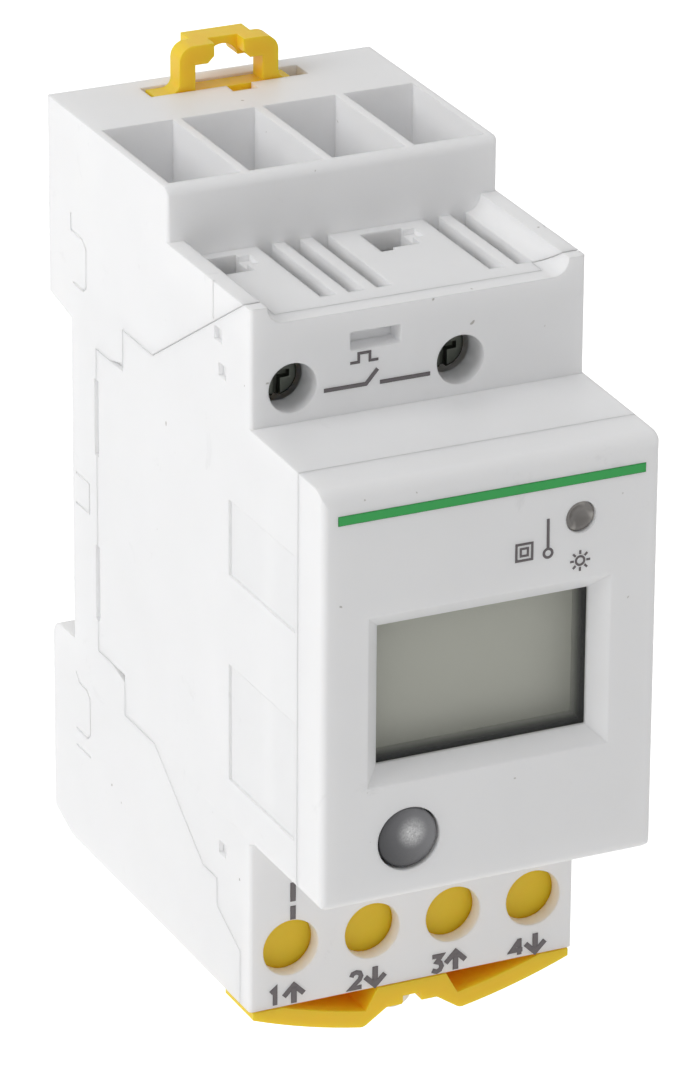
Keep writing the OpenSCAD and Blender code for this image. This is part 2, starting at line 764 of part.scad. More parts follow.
// Centre of the bow that runs from the wing's end to its lobe
bow_a = [wing_x, wing_z - wing_t];
bow_b = [lobe_x, wing_z - lobe_drop + wing_gap];
bow_m = (bow_a + bow_b) / 2;
bow_d = (bow_a - bow_b) / norm(bow_a - bow_b);
bow_h = sqrt(wing_bow * wing_bow - pow(norm(bow_a - bow_b) / 2, 2));
bow_c = bow_m + bow_h * [-bow_d[1], bow_d[0]];

// Slope from the lobe up to the bridge between the lobes, and the rounding of the lobe's tip
bridge_drop = 2.4;
bridge_x = 1.1;
catch_x = 0.7;
catch_h = 0.9;
lobe_round = 1;
slope_top = [lobe_x - 0.9 - lobe_slope, wing_z - bridge_drop];
slope_d = (slope_top - bow_b) / norm(slope_top - bow_b);
slope_end = bow_b - 2 * slope_d;
bow_t = [bow_c[1] - bow_b[1], bow_b[0] - bow_c[0]] / wing_bow;
tip_d = (slope_d + bow_t) / norm(slope_d + bow_t);
tip_half = acos(slope_d * bow_t) / 2;
module lobe_tip() difference() {
  polygon([
    bow_b - over * tip_d, bow_b + slope_d * lobe_round / tan(tip_half), bow_b + bow_t * lobe_round / tan(tip_half)
  ]);
  translate(bow_b + tip_d * lobe_round / sin(tip_half)) circle(lobe_round);
}
module wing_outline() {
  difference() {
    intersection() {
      translate([-wing_x, wing_z - lobe_drop - over]) square([2 * wing_x, lobe_drop + over]);
      mirror([1, 0]) translate(bow_c) circle(wing_bow, $fn = 96);
      translate(bow_c) circle(wing_bow, $fn = 96);
    }
    for (i = [0, 1]) mirror([i, 0]) {
      lobe_tip();
      polygon([
        slope_end, slope_top, [bridge_x, wing_z - bridge_drop], [catch_x, wing_z - bridge_drop + catch_h],
        [-over, wing_z - bridge_drop + catch_h], [-over, slope_end[1]]
      ]);
    }
  }
}
// A scoop above the band of the wing, on the right
module scoop_outline() intersection() {
  translate(bow_c) circle(wing_bow - wing_band, $fn = 96);
  polygon([
    [lobe_x - lobe_slope - 0.4, wing_z + over], [lobe_x - 0.2, wing_z - lobe_drop + wing_band],
    [lobe_x + 0.4, wing_z - lobe_drop], [wing_x, wing_z - lobe_drop], [wing_x, wing_z + over]
  ]);
}
plate_x = track_x - shutter_gap;
scoop_back = 1.2;
module screw_shutter() color(yellow_c) {
  block(-plate_x, plate_x, shutter_f0, shutter_f1, wing_z - 0.4, plate_top);
  difference() {
    facing(wing_f1 - wing_d, wing_f1) wing_outline();
    for (i = [0, 1]) mirror([i, 0, 0]) facing(wing_f1 - wing_d + scoop_back, wing_f1 + over) scoop_outline();
    block(-lug_w - 0.4, lug_w + 0.4, wing_f1 - wing_d - over, shutter_f0 - 0.05, wing_z - lobe_drop - over, wing_z + over);
  }
}

// Display, button and lamp

inner_w = window_w - 2 * window_bevel;
inner_h = window_h - 2 * window_bevel;
lcd_w = inner_w + 2 * (window_bevel + lcd_margin);
lcd_h = inner_h + 2 * (window_bevel + lcd_margin);
pane_w = lcd_w + 2 * pane_margin;
pane_h = lcd_h + 2 * pane_margin;

module display_window() color([0.75, 0.78, 0.76, 0.35])
  translate([window_x, 0, window_z]) facing(pane_f0, pane_f1) soft_rect(pane_w, pane_h, 0.6);

module lcd_panel() color([0.6, 0.61, 0.56])
  translate([window_x, 0, window_z]) facing(lcd_f0, lcd_f1) square([lcd_w, lcd_h], center = true);

// Holder of the pane and the display, with a dark well between them
module lcd_frame() color(dark_c) translate([window_x, 0, window_z]) difference() {
  facing(display_f1, frame_f1) soft_rect(pane_w + 2 * frame_wall, pane_h + 2 * frame_wall, 1);
  facing(pane_f0 - rest_gap, frame_f1 + over) square([pane_w + frame_gap, pane_h + frame_gap], center = true);
  facing(display_f1 - over, frame_f1) square([inner_w, inner_h], center = true);
  facing(display_f1 - over, lcd_f1 + rest_gap) square([lcd_w + frame_gap, lcd_h + frame_gap], center = true);
}

module zebra_strips() color(dark_c) translate([window_x, 0, window_z]) for (i = [-1, 1]) {
  mid = i * (lcd_h / 2 - 0.9 - zebra_h / 2);
  block(-inner_w / 2, inner_w / 2, display_f1, lcd_f0, mid - zebra_h / 2, mid + zebra_h / 2);
}

module display_board() color(board_c) facing(display_f0, display_f1)
  translate([0, (nose_in_top + nose_in_low) / 2]) soft_rect(2 * board_x, nose_in_top - nose_in_low - 0.6, 0.8);

// Domed cap with a flange behind the fascia and a stem on the switch
module button_cap() color([0.47, 0.47, 0.49]) turned(button_x, button_z) {
  front = nose_f - button_dome;
  bow = (button_r * button_r + button_sag * button_sag) / (2 * button_sag);
  translate([0, plunger_f1]) square([plunger_r, button_stem]);
  translate([0, button_flange_f0]) square([button_flange_r, button_flange_t]);
  intersection() {
    translate([0, button_flange_f0]) square([button_r, front + button_sag - button_flange_f0]);
    translate([0, front + button_sag - bow]) circle(bow, $fn = 96);
  }
}

module switch_plunger() color(dark_c) rod(button_x, button_z, plunger_r, plunger_f0, plunger_f1);

module tact_switch() color(steel_c) difference() {
  translate([button_x, 0, button_z]) facing(display_f1, switch_f1) soft_rect(switch_w, switch_w, 0.5);
  rod(button_x, button_z, plunger_r + plunger_gap, plunger_f0 - button_travel - 0.3, switch_f1 + over);
}

module led() color([0.8, 0.2, 0.15])
  block(lamp_x - 1.5, lamp_x + 1.5, display_f1, display_f1 + led_t, lamp_z - 0.8, lamp_z + 0.8);

// Light guide with a flange behind the fascia and a hollow cone in front
module led_lens() color([0.62, 0.6, 0.58]) turned(lamp_x, lamp_z) difference() {
  union() {
    translate([0, display_f1 + led_t + 0.3]) square([lamp_r - lens_gap, nose_f - 0.4 - display_f1 - led_t - 0.3]);
    translate([0, nose_back_f - 1.2]) square([lamp_r - lens_gap + lens_flange, 1]);
  }
  polygon([[0, nose_f - 1.2], [lamp_r - 0.5, nose_f - 0.4], [0, nose_f]]);
}

// Boards and what is on them

module main_board() color(board_c) facing(board_f, main_f1)
  translate([0, (main_top + main_low) / 2]) soft_rect(2 * board_x, main_top - main_low, 0.8);

header_side = 11.7;
header_x = board_x - header_side;
header_z = -15.5;
header_n = 6;
header_d = 2.5;
pin_r = 0.35;
module board_header() color(dark_c) {
  half = header_n * pin_pitch / 2;
  block(header_x - half, header_x + half, main_f1, main_f1 + header_d, header_z - header_d / 2, header_z + header_d / 2);
  for (i = [0:header_n - 1])
    rod(header_x - half + (i + 0.5) * pin_pitch, header_z, pin_r, main_f1 + header_d - pin_r, display_f0);
}

// Gap from a component to the board's edge, and between two of them
edge_gap = 1.5;
part_gap = 2.7;
supply_z = 7.5;
can_r = 5;
can_l = 12;
can_x = board_x - edge_gap - can_r;
film_w = 2 * board_x - 2 * edge_gap - 2 * can_r - part_gap;
film_h = 8.5;
film_d = 13;
film_x = -board_x + edge_gap + film_w / 2;
module film_capacitor() color([0.75, 0.68, 0.2])
  facing(board_f - film_d, board_f) translate([film_x, supply_z]) soft_rect(film_w, film_h, 0.8);

module electrolytic_capacitor() color([0.12, 0.14, 0.3]) turned(can_x, supply_z)
  translate([0, board_f - can_l]) square([can_r, can_l]);

// Disc on two leads
disc_r = 5.5;
disc_t = 4;
disc_x = -board_x + 2 * edge_gap + disc_t;
disc_z = -9;
lead_r = 0.4;
lead_l = 3;
module varistor() color([0.15, 0.3, 0.6]) {
  translate([disc_x, lead_l + disc_r - board_f, disc_z]) rotate([0, 90, 0]) cylinder(r = disc_r, h = disc_t, center = true);
  for (i = [-1, 1]) rod(disc_x, disc_z + i * disc_r / 2, lead_r, board_f - 2 * lead_l, board_f);
}

chip_w = 7;
chip_t = 1.2;
chip_lift = 0.3;
chip_z = -4;
chip_leg = 1.1;
leg_t = 0.4;
module metering_chip() color(dark_c) {
  half = chip_w / 2;
  block(-half, half, main_f1 + chip_lift, main_f1 + chip_lift + chip_t, chip_z - half, chip_z + half);
  for (i = [-3:3], j = [-1, 1])
    block(i - leg_t / 2, i + leg_t / 2, main_f1, main_f1 + chip_lift + leg_t,
      chip_z + min(j * (half - leg_t), j * (half + chip_leg)), chip_z + max(j * (half - leg_t), j * (half + chip_leg)));
}

can_h = 3.5;
crystal_w = 4.6;
crystal_l = 11;
module crystal() color(steel_c) facing(main_f1, main_f1 + can_h)
  translate([board_x - part_gap - crystal_l / 2, chip_z]) soft_rect(crystal_w, crystal_l, crystal_w / 2 - 0.1);

opto_w = 6.5;
opto_h = 4.6;
opto_z = 14;
module optocoupler() color(dark_c) facing(main_f1, main_f1 + can_h)
  translate([-board_x + part_gap + opto_w / 2, opto_z]) soft_rect(opto_w, opto_h, 0.3);

// A conductor that joins two power clamps: two tongues, a link above them and its tails to the board
module conductor(left, tails) {
  a = power_x[left];
  b = power_x[left + 1];
  for (x = [a, b])
    block(x - tongue_w, x + tongue_w, bus_f0, bus_f1, power_cage_z0, link_z0 + link_h);
  block(a - tongue_w, b + tongue_w, bus_f0, bus_f1, link_z0, link_z0 + link_h);
  for (x = tails) block(x - 0.8, x + 0.8, bus_f1, board_f, link_z0 + 1, link_z0 + 2);
}
module neutral_busbar() color(copper_c) conductor(0, [power_x[0]]);

// The shunt's link is waisted between its two sense tails
module current_shunt() color([0.7, 0.6, 0.5]) difference() {
  mid = (power_x[2] + power_x[3]) / 2;
  conductor(2, [mid - 2.2, mid + 2.2]);
  rod(mid, link_z0 + link_h + 0.4, 1.2, bus_f0 - over, bus_f1 + over);
}

module pulse_contact(i) color(copper_c) {
  x = pulse_x[i - 1];
  foot_z = main_top - 2;
  block(x - contact_w, x + contact_w, contact_f0, contact_f1, foot_z, pulse_z + pulse_cage_h - 0.4);
  block(x - contact_w / 2, x + contact_w / 2, contact_f1, board_f, foot_z, foot_z + contact_t);
}

// A clamp frame round a wire, threaded in front
module cage(x, z, half_w, half_h, side_t, f0, f1, back_t, nut_t, hole_r) color(steel_c) difference() {
  block(x - half_w, x + half_w, f0, f1, z - half_h, z + half_h);
  block(x - half_w + side_t, x + half_w - side_t, f0 + back_t, f1 - nut_t, z - half_h - over, z + half_h + over);
  rod(x, z, hole_r, f1 - nut_t - over, f1 + over);
}
module power_cage(i) cage(power_x[i - 1], power_z, power_cage_w, power_cage_h, power_cage_t,
  power_cage_f0, power_cage_f1, power_back_t, power_nut_t, power_r + thread_gap);
module pulse_cage(i) cage(pulse_x[i - 1], pulse_z, pulse_cage_w, pulse_cage_h, pulse_cage_t,
  pulse_cage_f0, pulse_cage_f1, pulse_back_t, pulse_nut_t, pulse_r + thread_gap);

// A screw with a cross and a slot in its head
module terminal_screw(x, z, r, tip_f, head_r, head_f0, head_f1) color(steel_c) difference() {
  edge = 0.3;
  turned(x, z) polygon([
    [0, tip_f], [r - edge, tip_f], [r, tip_f + edge], [r, head_f0], [head_r, head_f0],
    [head_r, head_f1 - edge], [head_r - edge, head_f1], [0, head_f1]
  ]);
  slot = head_r * 0.32;
  depth = (head_f1 - head_f0) * 0.5;
  block(x - slot / 2, x + slot / 2, head_f1 - depth, head_f1 + over, z - head_r - over, z + head_r + over);
  block(x - head_r * 0.6, x + head_r * 0.6, head_f1 - depth, head_f1 + over, z - slot / 2, z + slot / 2);
}
module power_screw(i) terminal_screw(power_x[i - 1], power_z, power_r, power_tip_f,
  power_head_r, power_head_f0, power_head_f1);
module pulse_screw(i) terminal_screw(pulse_x[i - 1], pulse_z, pulse_r, pulse_tip_f,
  pulse_head_r, pulse_head_f0, pulse_head_f1);

rear_base();
front_case();
nose_fascia();
rail_clip();
screw_shutter();
display_window();
lcd_panel();
lcd_frame();
zebra_strips();
display_board();
button_cap();
switch_plunger();
tact_switch();
led();
led_lens();
main_board();
board_header();
film_capacitor();
electrolytic_capacitor();
varistor();
metering_chip();
crystal();
optocoupler();
current_shunt();
neutral_busbar();
for (i = [1, 2]) {
  pulse_contact(i);
  pulse_screw(i);
  pulse_cage(i);
}
for (i = [1:4]) {
  power_screw(i);
  power_cage(i);
}
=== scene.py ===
# %% [markdown]
# A two-module electricity meter for a mounting rail, dressed for the camera.
# The CAD frame gives every piece its place and its joint.
# This lesson adds what CAD leaves out: soft edges, moulded surfaces, printed marks, light and camera.
# All lengths are in metres, x runs along the rail, z is up and the front faces -y.

# %% Load the frame
import json
import math
import bmesh
import bpy
import numpy as np
from mathutils import Matrix, Vector


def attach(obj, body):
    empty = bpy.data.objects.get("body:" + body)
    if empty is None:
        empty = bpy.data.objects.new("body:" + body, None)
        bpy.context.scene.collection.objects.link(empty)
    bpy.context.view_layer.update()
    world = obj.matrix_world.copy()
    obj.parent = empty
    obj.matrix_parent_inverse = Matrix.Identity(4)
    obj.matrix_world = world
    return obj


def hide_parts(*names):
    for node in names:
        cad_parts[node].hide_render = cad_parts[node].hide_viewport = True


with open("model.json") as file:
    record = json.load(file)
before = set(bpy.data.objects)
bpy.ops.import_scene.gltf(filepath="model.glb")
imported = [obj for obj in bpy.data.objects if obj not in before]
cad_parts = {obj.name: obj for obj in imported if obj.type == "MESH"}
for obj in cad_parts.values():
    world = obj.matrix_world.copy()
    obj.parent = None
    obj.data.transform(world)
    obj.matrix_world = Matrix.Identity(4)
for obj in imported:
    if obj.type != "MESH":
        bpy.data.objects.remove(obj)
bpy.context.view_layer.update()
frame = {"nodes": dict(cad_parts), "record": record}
MM = 0.001
nodes = frame["nodes"]
slot_of = {p["node"]: p["material_slot"] for p in frame["record"]["subparts"]}
body_of = {n: b for b, names in frame["record"]["behaviour"]["bodies"].items() for n in names}

# %% [markdown]
# Marks, cuts and shading have to sit where the solids are.
# Their places could all be typed in.
# Where a CAD node gives the place, it is read from the node's corners, so it follows a change of size.

# %% Measure the solids


def points(mesh):
    """All vertices of a mesh, as rows of x, y and z."""
    co = np.empty(len(mesh.vertices) * 3)
    mesh.vertices.foreach_get("co", co)
    return co.reshape(-1, 3)


def reach(node):
    """Lowest and highest corner of a CAD node, to a micrometre."""
    co = points(nodes[node].data)
    return co.min(0).round(6).tolist(), co.max(0).round(6).tolist()


def middle(node):
    """Centre of the box round a CAD node."""
    low, high = reach(node)
    return [(a + b) / 2 for a, b in zip(low, high)]


def mm(length):
    """A length in millimetres, to a micrometre."""
    return round(length / MM, 3)


fascia_low, fascia_high = reach("nose_fascia")
HALF = fascia_high[0]
CHIN = fascia_low[2]
FASCIA_Y = fascia_low[1]
FRONT_Y = -44.0 * MM
print("half width", mm(HALF), "mm, fascia at", mm(FASCIA_Y), "mm")

# %% [markdown]
# Camera and light come first, because every later choice is judged through them.
# A camera can be placed by eye. This one was fitted to the straight edges of the photo.
# The fit gives a long lens from the upper left, written as a turn, a rise, a roll and a distance.

# %% Camera
SENSOR = 36.0
FOCAL_PIXELS = 6967.1
FRAME_HEIGHT = 1065.0
VIEW_TURN = math.radians(-25.34)
VIEW_RISE = math.radians(23.29)
VIEW_ROLL = math.radians(0.41)
VIEW_FAR = 704.0 * MM
VIEW_AIM = Vector((1.99 * MM, -24.4 * MM, 0.06 * MM))
back = Vector((
    math.sin(VIEW_TURN) * math.cos(VIEW_RISE),
    -math.cos(VIEW_TURN) * math.cos(VIEW_RISE),
    math.sin(VIEW_RISE),
))
right = Vector((math.cos(VIEW_TURN), math.sin(VIEW_TURN), 0.0))
up = back.cross(right)
cam_x = right * math.cos(VIEW_ROLL) + up * math.sin(VIEW_ROLL)
cam_y = back.cross(cam_x)
cam_data = bpy.data.cameras.new("camera")
cam_data.lens = SENSOR * FOCAL_PIXELS / FRAME_HEIGHT
cam_data.clip_start = 0.01
cam = bpy.data.objects.new("camera", cam_data)
cam_turn = Matrix((cam_x, cam_y, back)).transposed().to_4x4()
cam.matrix_world = Matrix.Translation(VIEW_AIM + back * VIEW_FAR) @ cam_turn
bpy.context.scene.collection.objects.link(cam)
bpy.context.scene.camera = cam
print("lens", round(cam_data.lens, 1), "mm")

# %% [markdown]
# The sky and every material are trees of nodes with a few values set.
# They could be clicked together in the shader editor.
# Small helpers keep a node on one line, so a recipe can be read from top to bottom.

# %% Node helpers


def add(tree, kind, **values):
    """A node with its values set. A key with a capital is an input, and _ stands for a space in it."""
    node = tree.nodes.new(kind)
    for key, value in values.items():
        if key[0].isupper():
            node.inputs[key.replace("_", " ")].default_value = value
        else:
            setattr(node, key, value)
    return node


def object_noise(tree, **values):
    """A noise over the object's own coordinates."""
    co = add(tree, "ShaderNodeTexCoord")
    noise = add(tree, "ShaderNodeTexNoise", **values)
    tree.links.new(co.outputs["Object"], noise.inputs["Vector"])
    return noise


def blend(tree, low, high):
    """A mix of two colours: low where the factor is 0 and high where it is 1."""
    mix = add(tree, "ShaderNodeMix", data_type="RGBA")
    mix.inputs[6].default_value = (*low, 1.0)
    mix.inputs[7].default_value = (*high, 1.0)
    return mix


def seen_level(tree, unseen, seen):
    """A value that is seen for camera and glossy rays, and unseen for diffuse light."""
    path = add(tree, "ShaderNodeLightPath")
    either = add(tree, "ShaderNodeMath", operation="MAXIMUM")
    level = add(tree, "ShaderNodeMapRange", To_Min=unseen, To_Max=seen)
    tree.links.new(path.outputs["Is Camera Ray"], either.inputs[0])
    tree.links.new(path.outputs["Is Glossy Ray"], either.inputs[1])
    tree.links.new(either.outputs[0], level.inputs["Value"])
    return level.outputs["Result"]


def blank(name):
    """A new material with its tree and its Principled shader."""
    mat = bpy.data.materials.new(name)
    mat.use_nodes = True
    return mat, mat.node_tree, mat.node_tree.nodes["Principled BSDF"]


print("node helpers", [f.__name__ for f in (add, object_noise, blend, seen_level, blank)])

# %% [markdown]
# The left side is the brightest face in the photo, and no shadow has a hard edge.
# That is the work of a large panel on the left in a soft room.
# A picture of a studio could light the scene. Two panels and an even room are easier to tune.
# The Standard view transform keeps the yellow clean, and 12 diffuse bounces carry light into the bays.

# %% Light
AIM = (0.0, -0.03, 0.0)
bpy.context.scene.view_settings.view_transform = "Standard"
bpy.context.scene.cycles.diffuse_bounces = 12


def panel(name, place, size, watts):
    """A square area light at place, turned to the meter."""
    data = bpy.data.lights.new(name, "AREA")
    data.size = size
    data.energy = watts
    lamp = bpy.data.objects.new(name, data)
    lamp.location = place
    lamp.rotation_euler = (Vector(AIM) - Vector(place)).to_track_quat("-Z", "Y").to_euler()
    bpy.context.scene.collection.objects.link(lamp)
    return lamp


key_left = panel("key_left", (-0.75, -0.06, 0.48), 0.5, 3.1)
top_soft = panel("top_soft", (-0.1, 0.0, 0.8), 0.6, 0.6)
print("panels", key_left.name, top_soft.name)

# %% [markdown]
# Behind the meter the photo is pure white, and yet its faces keep a soft grey shading.
# A white room alone would wash that shading out.
# So the room and the floor are white to the camera and in reflections, and darker to diffuse light.
# The floor lies low enough for the sliding shutter, which reaches down past the housing.

# %% Backdrop
FLOOR_Z = -54.0 * MM
FLOOR_REACH = 4.0


def floor_skin(name):
    """Pale sweep: matt, white to the eye and only faintly lit from within for the object."""
    mat, tree, shader = blank(name)
    tree.links.new(seen_level(tree, 0.14, 0.72), shader.inputs["Emission Strength"])
    shader.inputs["Emission Color"].default_value = (1.0, 1.0, 1.0, 1.0)
    shader.inputs["Base Color"].default_value = (0.92, 0.92, 0.92, 1.0)
    shader.inputs["Roughness"].default_value = 0.9
    return mat


world = bpy.data.worlds.new("room")
bpy.context.scene.world = world
world.use_nodes = True
sky = world.node_tree.nodes["Background"]
sky.inputs["Color"].default_value = (1.0, 1.0, 1.0, 1.0)
world.node_tree.links.new(seen_level(world.node_tree, 0.455, 1.0), sky.inputs["Strength"])
floor_mesh = bpy.data.meshes.new("floor")
corners = [(x * FLOOR_REACH, y * FLOOR_REACH, FLOOR_Z) for x, y in ((-1, -1), (1, -1), (1, 1), (-1, 1))]
floor_mesh.from_pydata(corners, [], [(0, 1, 2, 3)])
floor_mesh.materials.append(floor_skin("floor_paint"))
floor = bpy.data.objects.new("floor", floor_mesh)
bpy.context.scene.collection.objects.link(floor)
print("floor at", mm(FLOOR_Z), "mm")

# %% [markdown]
# Moulded plastic shows the fine grain of its spark-eroded mould, and no edge of it is knife sharp.
# Both effects are on every plastic piece, so they are one node group with a depth and an edge radius.
# Real bevels on the large mouldings leave slivers where slots and seams meet.
# A rounded normal does the same for so small a radius, and the larger rounds are in the solids.

# %% Grain group


def new_group(name, ins, outs):
    """An empty shader node group with its sockets, and its inner input and output nodes."""
    tree = bpy.data.node_groups.new(name, "ShaderNodeTree")
    for label, kind, value in ins:
        sock = tree.interface.new_socket(label, in_out="INPUT", socket_type=kind)
        sock.default_value = value
    for label, kind in outs:
        tree.interface.new_socket(label, in_out="OUTPUT", socket_type=kind)
    return tree, tree.nodes.new("NodeGroupInput"), tree.nodes.new("NodeGroupOutput")


def grain_group():
    """Mould grain: noise in object space turned into a bump, on normals that round every edge by Edge."""
    tree, gi, go = new_group(
        "mould_grain",
        [
            ("Scale", "NodeSocketFloat", 3500.0),
            ("Depth", "NodeSocketFloat", 0.08),
            ("Edge", "NodeSocketFloat", 0.25 * MM),
        ],
        [("Normal", "NodeSocketVector"), ("Tone", "NodeSocketFloat")],
    )
    fine = object_noise(tree, Detail=3.0, Roughness=0.6)
    broad = object_noise(tree, Scale=90.0, Detail=2.0)
    bump = add(tree, "ShaderNodeBump", Distance=0.1 * MM)
    soft = add(tree, "ShaderNodeBevel", samples=6)
    tree.links.new(gi.outputs["Edge"], soft.inputs["Radius"])
    tree.links.new(soft.outputs["Normal"], bump.inputs["Normal"])
    tree.links.new(gi.outputs["Scale"], fine.inputs["Scale"])
    tree.links.new(gi.outputs["Depth"], bump.inputs["Strength"])
    tree.links.new(fine.outputs[0], bump.inputs["Height"])
    tree.links.new(bump.outputs["Normal"], go.inputs["Normal"])
    tree.links.new(broad.outputs[0], go.inputs["Tone"])
    return tree


GRAIN = grain_group()
print("group", GRAIN.name)

# %% [markdown]
# A meter that was handled has a few specks of dirt and faint patches rubbed smooth.
# They could be painted by hand on a picture. Two noises give the same and need no picture.
# Each noise is cut off near its peaks, and the group puts out the two masks.

# %% Handling group


def handling_group():
    """Handling: specks where a fine noise peaks, rubbed patches where a coarse, warped noise does."""
    tree, gi, go = new_group(
        "handling",
        [("Specks", "NodeSocketFloat", 0.75), ("Rub", "NodeSocketFloat", 0.62)],
        [("Speck", "NodeSocketFloat"), ("Rubbed", "NodeSocketFloat")],
    )
    dots = object_noise(tree, Scale=900.0, Detail=1.0)
    rub = object_noise(tree, Scale=160.0, Detail=6.0, Roughness=0.7, Distortion=0.6)
    for source, level, out, soft in ((dots, "Specks", "Speck", 0.04), (rub, "Rub", "Rubbed", 0.12)):
        top = add(tree, "ShaderNodeMath", operation="ADD")
        top.inputs[1].default_value = soft
        step = add(tree, "ShaderNodeMapRange", interpolation_type="SMOOTHSTEP")
        tree.links.new(gi.outputs[level], top.inputs[0])
        tree.links.new(source.outputs[0], step.inputs["Value"])
        tree.links.new(gi.outputs[level], step.inputs["From Min"])
        tree.links.new(top.outputs[0], step.inputs["From Max"])
        tree.links.new(step.outputs["Result"], go.inputs[out])
    return tree


HANDLING = handling_group()
print("group", HANDLING.name)

# %% [markdown]
# The housing is white plastic, the clip and the shutter are yellow, and most inner parts are plastic too.
# Each could have a tree of its own. They share one recipe, so that they look made of one family.
# The colour drifts a little, rubbed patches are smoother, and light sinks a short way into the surface.
# Yellow and ink stay free of specks, which would show on them as holes.

# %% Plastics
DIRT = (0.55, 0.53, 0.5)
RUB_SHADE = 0.93
RUB_GLOSS = 0.1
SPOTLESS = 0.95


def scaled(colour, factor):
    """A colour made lighter or darker, kept within white."""
    return [min(1.0, c * factor) for c in colour]


def plastic(name, colour, rough, depth=0.08, specks=0.78, drift=0.03, edge=0.25, **extra):
    """Moulded plastic: colour drift, specks, rubbed gloss and mould grain."""
    mat, tree, shader = blank(name)
    grain = add(tree, "ShaderNodeGroup", node_tree=GRAIN, Depth=depth, Edge=edge * MM)
    traces = add(tree, "ShaderNodeGroup", node_tree=HANDLING, Specks=specks)
    tone = blend(tree, scaled(colour, 1.0 - drift), scaled(colour, 1.0 + drift))
    scuff = blend(tree, colour, scaled(colour, RUB_SHADE))
    dirt = blend(tree, colour, [c * d for c, d in zip(colour, DIRT)])
    gloss = add(tree, "ShaderNodeMapRange", To_Min=rough, To_Max=max(0.05, rough - RUB_GLOSS))
    tree.links.new(grain.outputs["Tone"], tone.inputs[0])
    tree.links.new(tone.outputs[2], scuff.inputs[6])
    tree.links.new(traces.outputs["Rubbed"], scuff.inputs[0])
    tree.links.new(scuff.outputs[2], dirt.inputs[6])
    tree.links.new(traces.outputs["Speck"], dirt.inputs[0])
    tree.links.new(traces.outputs["Rubbed"], gloss.inputs["Value"])
    tree.links.new(dirt.outputs[2], shader.inputs["Base Color"])
    tree.links.new(gloss.outputs["Result"], shader.inputs["Roughness"])
    tree.links.new(grain.outputs["Normal"], shader.inputs["Normal"])
    for key, value in extra.items():
        shader.inputs[key.replace("_", " ")].default_value = value
    return mat


white_depth = dict(
    Subsurface_Weight=0.5, Subsurface_Scale=1.6 * MM, Subsurface_Radius=(1.0, 0.97, 0.93)
)
yellow_depth = dict(
    Subsurface_Weight=0.6, Subsurface_Scale=4.0 * MM, Subsurface_Radius=(1.0, 0.5, 0.04)
)
skins = {
    "white_plastic": plastic("white_plastic", (0.9, 0.9, 0.905), 0.48, specks=0.8, **white_depth),
    "yellow_plastic": plastic(
        "yellow_plastic", (0.96, 0.6, 0.014), 0.5, drift=0.04, specks=SPOTLESS, edge=0.16, **yellow_depth
    ),
    "black_plastic": plastic("black_plastic", (0.018, 0.018, 0.02), 0.5),
    "black_rubber": plastic("black_rubber", (0.02, 0.02, 0.02), 0.8),
    "film_yellow": plastic("film_yellow", (0.55, 0.42, 0.04), 0.35),
    "can_blue": plastic("can_blue", (0.02, 0.05, 0.2), 0.3),
    "lamp": plastic("lamp", (0.6, 0.06, 0.03), 0.25, depth=0.02),
}
ink = plastic("ink", (0.15, 0.135, 0.14), 0.6, depth=0.03, specks=SPOTLESS)
ink_green = plastic("ink_green", (0.02, 0.36, 0.07), 0.5, depth=0.03, specks=SPOTLESS)
print("plastics", len(skins), "inks", ink.name, ink_green.name)

# %% [markdown]
# The screws and clamps are dark plated steel, the bars inside are copper, and the boards are green.
# A plain grey metal would look like paint. Plating is rougher along one direction, as turning left it.
# So a noise that is stretched along one axis drives the roughness.

# %% Metals and boards


def metal(name, colour, rough, stretch):
    """Plated metal: roughness from a noise that is stretched along one axis."""
    mat, tree, shader = blank(name)
    co = add(tree, "ShaderNodeTexCoord")
    place = add(tree, "ShaderNodeMapping", Scale=stretch)
    noise = add(tree, "ShaderNodeTexNoise", Scale=900.0, Detail=4.0)
    span = add(tree, "ShaderNodeMapRange", To_Min=rough * 0.7, To_Max=rough * 1.4)
    tree.links.new(co.outputs["Object"], place.inputs["Vector"])
    tree.links.new(place.outputs["Vector"], noise.inputs["Vector"])
    tree.links.new(noise.outputs[0], span.inputs["Value"])
    tree.links.new(span.outputs["Result"], shader.inputs["Roughness"])
    shader.inputs["Base Color"].default_value = (*colour, 1.0)
    shader.inputs["Metallic"].default_value = 1.0
    return mat


def board_skin(name):
    """Solder mask over copper tracks: bands of a warped wave show through as a lighter green."""
    mat, tree, shader = blank(name)
    co = add(tree, "ShaderNodeTexCoord")
    wave = add(tree, "ShaderNodeTexWave", Scale=180.0, Distortion=9.0, Detail=1.0)
    mix = blend(tree, (0.012, 0.13, 0.05), (0.03, 0.24, 0.09))
    tree.links.new(co.outputs["Object"], wave.inputs["Vector"])
    tree.links.new(wave.outputs[1], mix.inputs[0])
    tree.links.new(mix.outputs[2], shader.inputs["Base Color"])
    shader.inputs["Roughness"].default_value = 0.3
    return mat


skins["steel"] = metal("steel", (0.13, 0.14, 0.12), 0.4, (1.0, 0.15, 1.0))
skins["conductor"] = metal("conductor", (0.72, 0.48, 0.3), 0.3, (1.0, 1.0, 0.2))
skins["board"] = board_skin("board")
print("materials", len(skins))

# %% [markdown]
# The display is switched off: grey green glass that lies at the end of a well, behind a clear pane.
# The pane could be true glass, which is slow and noisy here. A thin veil with a gloss reads the same.
# The well's walls get painted shading: black at the pane, and lighter further in, up to the tone of the
# glass.
# The lamp's light guide is smoky, with a paler patch where a noise peaks.

# %% Display, pane and lens


def display_skin(name):
    """Blank display: a grey green that drifts slowly."""
    mat, tree, shader = blank(name)
    noise = object_noise(tree, Scale=60.0, Detail=1.0)
    mix = blend(tree, (0.535, 0.54, 0.47), (0.56, 0.565, 0.49))
    tree.links.new(noise.outputs[0], mix.inputs[0])
    tree.links.new(mix.outputs[2], shader.inputs["Base Color"])
    shader.inputs["Roughness"].default_value = 0.55
    return mat


